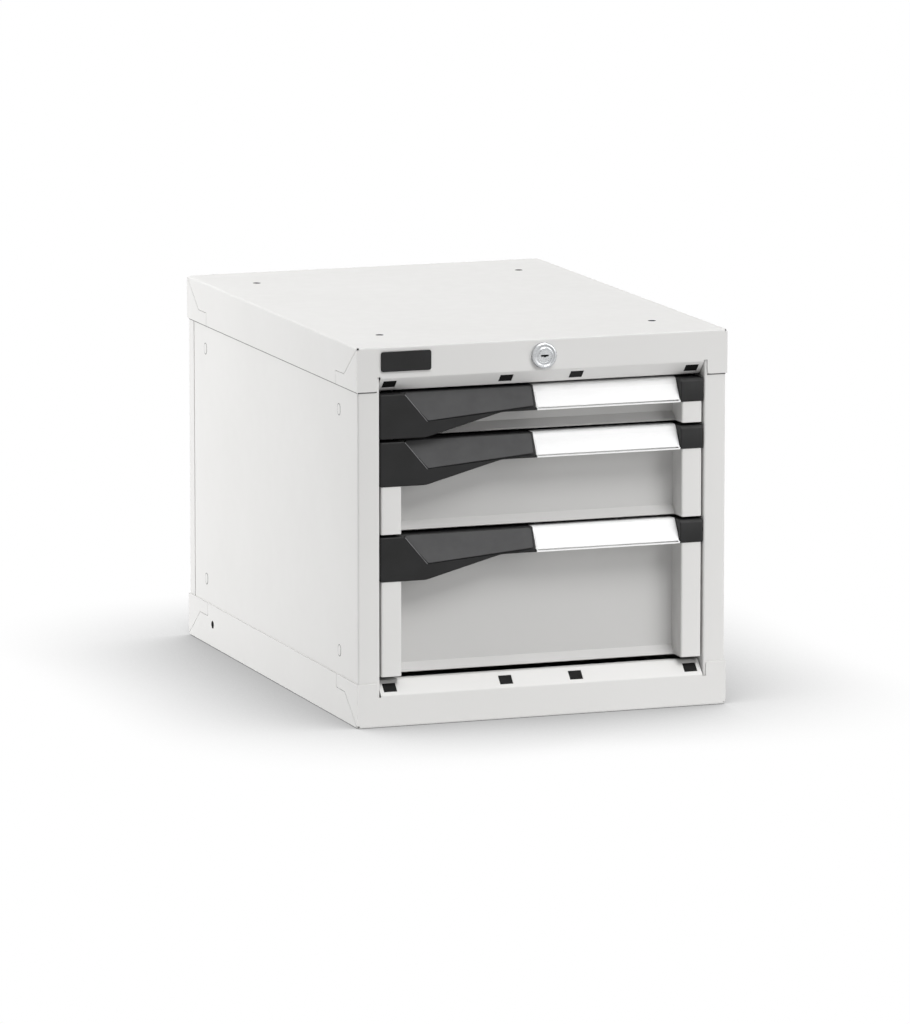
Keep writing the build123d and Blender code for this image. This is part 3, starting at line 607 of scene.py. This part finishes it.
# %% Helpers for Geometry Nodes
def new_tree(name, inputs):
    """A Geometry Nodes tree with named inputs, and the nodes where it starts and ends."""
    tree = bpy.data.node_groups.new(name, "GeometryNodeTree")
    for label, kind in inputs.items():
        tree.interface.new_socket(label, in_out="INPUT", socket_type=f"NodeSocket{kind}")
    tree.interface.new_socket("Geometry", in_out="OUTPUT", socket_type="NodeSocketGeometry")
    return tree, tree.nodes.new("NodeGroupInput").outputs, tree.nodes.new("NodeGroupOutput").inputs


def put(tree, kind, inputs):
    """Add a node, with each input linked to a socket or set to a value."""
    node = tree.nodes.new(f"GeometryNode{kind}")
    for label, value in inputs.items():
        if isinstance(value, bpy.types.NodeSocket):
            tree.links.new(value, node.inputs[label])
        else:
            node.inputs[label].default_value = value
    return node.outputs[0]


def grown(name, tree, values):
    """What a tree makes from these values, as an object with a plain mesh."""
    piece = linked(name, bpy.data.meshes.new(name))
    modifier = piece.modifiers.new(tree.name, "NODES")
    modifier.node_group = tree
    for socket in tree.interface.items_tree:
        if socket.in_out == "INPUT":
            modifier[socket.identifier] = values[socket.name]
    evaluated = piece.evaluated_get(bpy.context.evaluated_depsgraph_get())
    plain = bpy.data.meshes.new_from_object(evaluated)
    piece.modifiers.remove(modifier)
    piece.data = plain
    return piece


# %% Build the tree of rounded fixings
rim_corners = 48
fixing_tree, given, result = new_tree("rounded_fixings", {
    "Spacing across": "Float", "Spacing up": "Float", "Count across": "Int", "Count up": "Int",
    "Head radius": "Float", "Crown radius": "Float", "Head height": "Float", "Head stretch": "Float",
    "Turn": "Vector", "Place": "Vector", "Finish": "Material",
})
spots = put(fixing_tree, "MeshGrid", {
    "Size X": given["Spacing across"], "Size Y": given["Spacing up"],
    "Vertices X": given["Count across"], "Vertices Y": given["Count up"],
})
disc = put(fixing_tree, "MeshCone", {
    "Vertices": rim_corners, "Radius Bottom": given["Head radius"], "Radius Top": given["Crown radius"],
    "Depth": given["Head height"],
})
ends = put(fixing_tree, "MeshGrid", {
    "Size X": 0.0, "Size Y": given["Head stretch"], "Vertices X": 1, "Vertices Y": 2,
})
two_discs = put(fixing_tree, "InstanceOnPoints", {"Points": ends, "Instance": disc})
solid_discs = put(fixing_tree, "RealizeInstances", {"Geometry": two_discs})
head = put(fixing_tree, "ConvexHull", {"Geometry": solid_discs})
heads = put(fixing_tree, "InstanceOnPoints", {"Points": spots, "Instance": head})
placed = put(fixing_tree, "Transform", {
    "Geometry": heads, "Rotation": given["Turn"], "Translation": given["Place"],
})
solid_heads = put(fixing_tree, "RealizeInstances", {"Geometry": placed})
painted_heads = put(fixing_tree, "SetMaterial", {"Geometry": solid_heads, "Material": given["Finish"]})
fixing_tree.links.new(painted_heads, result["Geometry"])
print("tree", fixing_tree.name, "with", len(fixing_tree.nodes), "nodes")

# %% Darken a paint as painted shade for the gaps
gap_grey = 0.11
gap_shade_paint = paint.copy()
gap_shade_paint.name = "shadow_gap"
gap_shader = gap_shade_paint.node_tree.nodes["Principled BSDF"]
for link in list(gap_shader.inputs["Base Color"].links):
    gap_shade_paint.node_tree.links.remove(link)
gap_shader.inputs["Base Color"].default_value = (gap_grey, gap_grey, gap_grey, 1)
print("made", gap_shade_paint.name)

# %% Set the fixings on the sides and the rear
side_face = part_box("right_side_panel")[1].x
rear_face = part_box("rear_panel")[1].y
middle_height = cabinet_middle.z
spacing_up = 0.255
side_spacing = 0.45
rear_spacing = 0.37
side_stretch = 0.0032
faces = {  # turn, place, spacing across, count up, stretch
    "left": ((pi / 2, 0, -pi / 2), (-side_face, 0, middle_height), side_spacing, 2, side_stretch),
    "right": ((pi / 2, 0, pi / 2), (side_face, 0, middle_height), side_spacing, 2, side_stretch),
    "rear": ((pi / 2, 0, pi), (0, rear_face, middle_height), rear_spacing, 3, 0.0),
}
# The gap discs are dark grey, which is painted shade round each head.
head_shapes = {  # radius, crown radius, height, finish
    "fixing_heads": (0.0041, 0.0039, 0.00024, paint),
    "fixing_gaps": (0.0048, 0.0048, 0.00008, gap_shade_paint),
}
for face, (turn, place, spacing_across, count_up, stretch) in faces.items():
    for kind, (radius, crown, height, finish) in head_shapes.items():
        fixings = grown(f"{face}_{kind}", fixing_tree, {
            "Spacing across": spacing_across, "Spacing up": spacing_up, "Count across": 2, "Count up": count_up,
            "Head radius": radius, "Crown radius": crown, "Head height": height, "Head stretch": stretch,
            "Turn": turn, "Place": place, "Finish": finish,
        })
        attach(fixings, "cabinet")
        print(fixings.name, len(fixings.data.polygons), "faces")

# %% [markdown]
# ## Corner holes and the joint under the cover
# Where three folds of the cover or the base meet, the sheet leaves a small open hole at the corner, and nothing behind
# it is lit. The same tree puts a dark peg into each of them, which is painted shade. The cover overlaps the walls by
# the thickness of its sheet, and the thin joint below it lies in shade: a narrow dark strip on each wall is painted
# shade for it.

# %% Paint shade into the corner holes
corner_inset = 0.0021
peg_radius = 0.0009
peg_height = 0.0016
cabinet_size = cabinet_high - cabinet_low
# Each peg is matt black, which is painted shade for the open corner.
for end, level in (("cover", cabinet_high.z - corner_inset), ("base", cabinet_low.z + corner_inset)):
    pegs = grown(f"{end}_corner_pegs", fixing_tree, {
        "Spacing across": cabinet_size.x - corner_inset * 2, "Spacing up": cabinet_size.y - corner_inset * 2,
        "Count across": 2, "Count up": 2,
        "Head radius": peg_radius, "Crown radius": peg_radius, "Head height": peg_height, "Head stretch": 0.0,
        "Turn": (0, 0, 0), "Place": (0, 0, level), "Finish": black_plugs_and_shade,
    })
    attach(pegs, "cabinet")
    print(pegs.name, len(pegs.data.polygons), "faces")

# %% Paint the shade of the joint under the cover
joint_top = 0.3535  # the lower edge of the cover's sides
joint_height = 0.0013
joint_thickness = 0.0004  # half of it stands out of the wall
side_joint = 0.565
rear_joint = 0.404
stile_joint = 0.0205
stile_middle = 0.1935
stile_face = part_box("left_side_panel")[0].y
joint_middle = joint_top - joint_height / 2
strips = [((0, rear_face, joint_middle), (rear_joint, joint_thickness, joint_height))]  # middle and size
for side in (-1, 1):
    strips.append(((side * side_face, 0, joint_middle), (joint_thickness, side_joint, joint_height)))
    strips.append(((side * stile_middle, stile_face, joint_middle), (stile_joint, joint_thickness, joint_height)))
# Each strip is dark grey, which is painted shade for the joint under the cover.
joint = bmesh.new()
for middle, size in strips:
    corners = bmesh.ops.create_cube(joint, size=1)["verts"]
    bmesh.ops.scale(joint, verts=corners, vec=size)
    bmesh.ops.translate(joint, verts=corners, vec=middle)
joint_mesh = bpy.data.meshes.new("cover_joint")
joint.to_mesh(joint_mesh)
joint.free()
joint_mesh.materials.append(gap_shade_paint)
cover_joint = linked("cover_joint", joint_mesh)
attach(cover_joint, "cabinet")
print(cover_joint.name, "of", len(strips), "strips")

# %% [markdown]
# ## Slots for dividers in the drawer trays
# The walls of such trays are pierced by rows of narrow slots, one every 17 millimetres, into which dividers are
# clipped. Modelling some seventy slots for each tray one by one would be slow, and a picture of slots would look flat
# from the side. A second tree lays out the cutters along each wall, and Boolean modifiers take them out of the tray.

# %% Build the tree of slot cutters
slot_tree, given, result = new_tree("divider_slots", {
    "Pitch": "Vector", "Count": "Int", "First": "Vector", "Cutter": "Vector", "Finish": "Material",
})
row = put(slot_tree, "MeshLine", {
    "Count": given["Count"], "Start Location": given["First"], "Offset": given["Pitch"],
})
cutter = put(slot_tree, "MeshCube", {"Size": given["Cutter"]})
cutters = put(slot_tree, "InstanceOnPoints", {"Points": row, "Instance": cutter})
solid_cutters = put(slot_tree, "RealizeInstances", {"Geometry": cutters})
finished_cutters = put(slot_tree, "SetMaterial", {"Geometry": solid_cutters, "Material": given["Finish"]})
slot_tree.links.new(finished_cutters, result["Geometry"])
print("tree", slot_tree.name, "with", len(slot_tree.nodes), "nodes")


# %% Helper that cuts a copy
def cut_copy(node, cutters):
    """The mesh of a CAD node with the cutters taken out of it. The cutters are used up."""
    piece = linked(f"{node}_blank", merged_copy(node))
    for cutter in cutters:
        cut = piece.modifiers.new(cutter.name, "BOOLEAN")
        cut.operation = "DIFFERENCE"
        cut.solver = "EXACT"
        cut.object = cutter
    mesh = bpy.data.meshes.new_from_object(piece.evaluated_get(bpy.context.evaluated_depsgraph_get()))
    for used in [piece, *cutters]:
        bpy.data.objects.remove(used)
    return mesh


# %% Pierce the trays
slot_pitch = 0.017
units_across = 18  # the inside of a tray, in units of the pitch
units_deep = 27
slot_width = 0.0022
slot_reach = 0.004
slot_margin = 0.007
tray_sheet = 0.001
side_wall = slot_pitch * units_across / 2 + tray_sheet / 2
for drawer in drawer_names:
    node = f"{drawer}_drawer_tray"
    low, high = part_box(node)
    tray_front = low.y + tray_sheet
    rear_wall = tray_front + slot_pitch * units_deep + tray_sheet / 2
    slot_low = low.z + tray_sheet + slot_margin
    slot_high = high.z - slot_margin
    slot_middle = (slot_low + slot_high) / 2
    along_side = ((0, slot_pitch, 0), units_deep - 1, (slot_reach, slot_width, slot_high - slot_low))
    along_rear = ((slot_pitch, 0, 0), units_across - 1, (slot_width, slot_reach, slot_high - slot_low))
    first_across = slot_pitch * (1 - units_across / 2)
    rows = {  # first place, then pitch, count and cutter
        "left": ((-side_wall, tray_front + slot_pitch, slot_middle), along_side),
        "right": ((side_wall, tray_front + slot_pitch, slot_middle), along_side),
        "rear": ((first_across, rear_wall, slot_middle), along_rear),
    }
    cutters = []
    for wall, (first, (pitch, count, size)) in rows.items():
        cutters.append(grown(f"{drawer}_{wall}_cutters", slot_tree, {
            "Pitch": pitch, "Count": count, "First": first, "Cutter": size, "Finish": paint,
        }))
    pierced = linked(f"{node}_pierced", cut_copy(node, cutters))
    stands_for(pierced, node)
    print(pierced.name, len(pierced.data.polygons), "faces")

# %% [markdown]
# ## The slit in the label holder
# The card is slid in from the side, behind a narrow lip at the foot of the holder. Between the lip and the card runs a
# slit, which is the thin dark line in the picture. The same tree makes the one long cutter.

# %% Slit the label holders
lip_height = 0.0012
slit_top = 0.00235
slit_end = 0.0012
slit_depth = 0.0055
slit_overhang = 0.001  # how far the cutter starts in front of the holder
for drawer in drawer_names:
    node = f"{drawer}_label_holder"
    low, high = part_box(node)
    slit = grown(f"{node}_cutter", slot_tree, {
        "Pitch": (0, 0, 0), "Count": 1,
        "First": ((low.x + high.x) / 2, low.y + (slit_depth - slit_overhang) / 2, low.z + (lip_height + slit_top) / 2),
        "Cutter": (high.x - low.x - slit_end * 2, slit_depth + slit_overhang, slit_top - lip_height),
        "Finish": strip_white,
    })
    holder = softened(node, radius=0.0003, mesh=cut_copy(node, [slit]))
    print(holder.name, len(holder.data.polygons), "faces")

# %% [markdown]
# ## The painted highlight on the edge of the pad
# The pad is pressed into the grip, and along its slanted side a narrow edge of it stands up. A bead there is coloured
# a lighter grey than the pad, which is a painted highlight. A tree sweeps a circle along the line between two points,
# which is how cords and beads are made in general.

# %% Build the tree of beads
bead_corners = 12
bead_tree, given, result = new_tree("edge_beads", {
    "Start": "Vector", "End": "Vector", "Bead radius": "Float", "Finish": "Material",
})
line = put(bead_tree, "CurvePrimitiveLine", {"Start": given["Start"], "End": given["End"]})
circle = put(bead_tree, "CurvePrimitiveCircle", {"Resolution": bead_corners, "Radius": given["Bead radius"]})
sweep = put(bead_tree, "CurveToMesh", {"Curve": line, "Profile Curve": circle, "Fill Caps": True})
solid_bead = put(bead_tree, "RealizeInstances", {"Geometry": sweep})
finished_bead = put(bead_tree, "SetMaterial", {"Geometry": solid_bead, "Material": given["Finish"]})
bead_tree.links.new(finished_bead, result["Geometry"])
print("tree", bead_tree.name, "with", len(bead_tree.nodes), "nodes")

# %% Lay the beads
bead_radius = 0.00035
bead_start = Vector((0.0270, 0.0001, -0.0008))  # from the upper left corner of the grip's front
bead_end = Vector((0.0516, 0.0001, -0.0300))
# The beads take the lighter grey, which is a painted highlight.
for drawer in drawer_names:
    low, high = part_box(f"{drawer}_handle_grip")
    grip_corner = Vector((low.x, low.y, high.z))
    bead = grown(f"{drawer}_pad_bead", bead_tree, {
        "Start": tuple(grip_corner + bead_start), "End": tuple(grip_corner + bead_end),
        "Bead radius": bead_radius, "Finish": pad_edge_highlight,
    })
    bead.data.shade_smooth()
    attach(bead, frame["nodes"][f"{drawer}_handle_grip"]["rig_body"])
    print(bead.name, len(bead.data.polygons), "faces")

# %% [markdown]
# ## The pieces that keep their CAD shape
# Rails, uprights, glides, label cards and the lock's inner works are plain folded or cut pieces, and their CAD meshes
# are already right. They only need their finish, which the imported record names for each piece.

# %% Finish the remaining CAD pieces
shown = [node for node, piece in frame["nodes"].items() if not piece.hide_render]
for node in shown:
    piece = frame["nodes"][node]
    piece.data.materials.clear()
    piece.data.materials.append(finish_of_slot[slot_of[node]])
print("finished", len(shown), "CAD pieces as they are")
